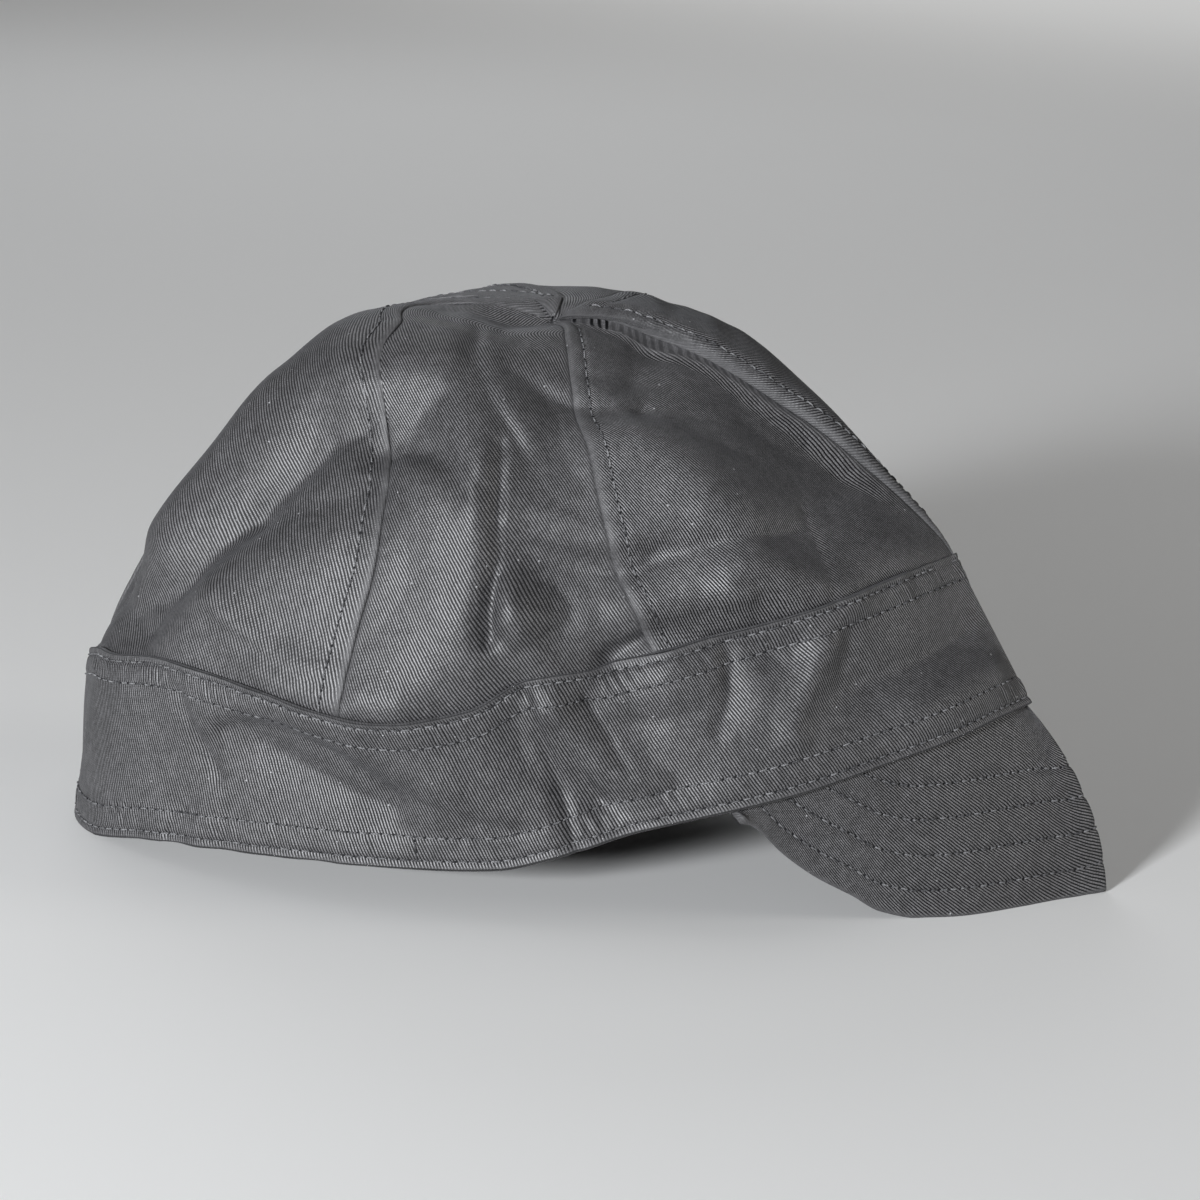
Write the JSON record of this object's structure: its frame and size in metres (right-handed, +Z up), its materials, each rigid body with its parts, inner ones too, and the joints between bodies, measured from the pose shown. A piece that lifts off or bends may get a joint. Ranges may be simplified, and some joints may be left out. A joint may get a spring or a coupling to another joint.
{
  "type": "welding cap",
  "caption": "Soft cotton twill welding cap with a gored crown, a deep band and a short soft visor, standing half open on its rim.",
  "frame": {"origin": "bottom centre of the bounding box, on the surface that the cap rests on", "axes": "+X out of the front, over the visor; +Z up; the wearer's right side faces -Y"},
  "size_m": [0.2598, 0.128, 0.1381],
  "materials": {
    "crown_twill": "matte charcoal cotton twill",
    "band_twill": "matte charcoal cotton twill, folded double",
    "visor_twill": "matte charcoal cotton twill, quilted with rows of stitching"
  },
  "bodies": {
    "root": {"crown_panel_front_right": "crown_twill", "crown_panel_middle_right": "crown_twill", "crown_panel_back_right": "crown_twill", "crown_panel_back_left": "crown_twill", "crown_panel_middle_left": "crown_twill", "crown_panel_front_left": "crown_twill", "band": "band_twill", "visor": "visor_twill"}
  },
  "joints": []
}
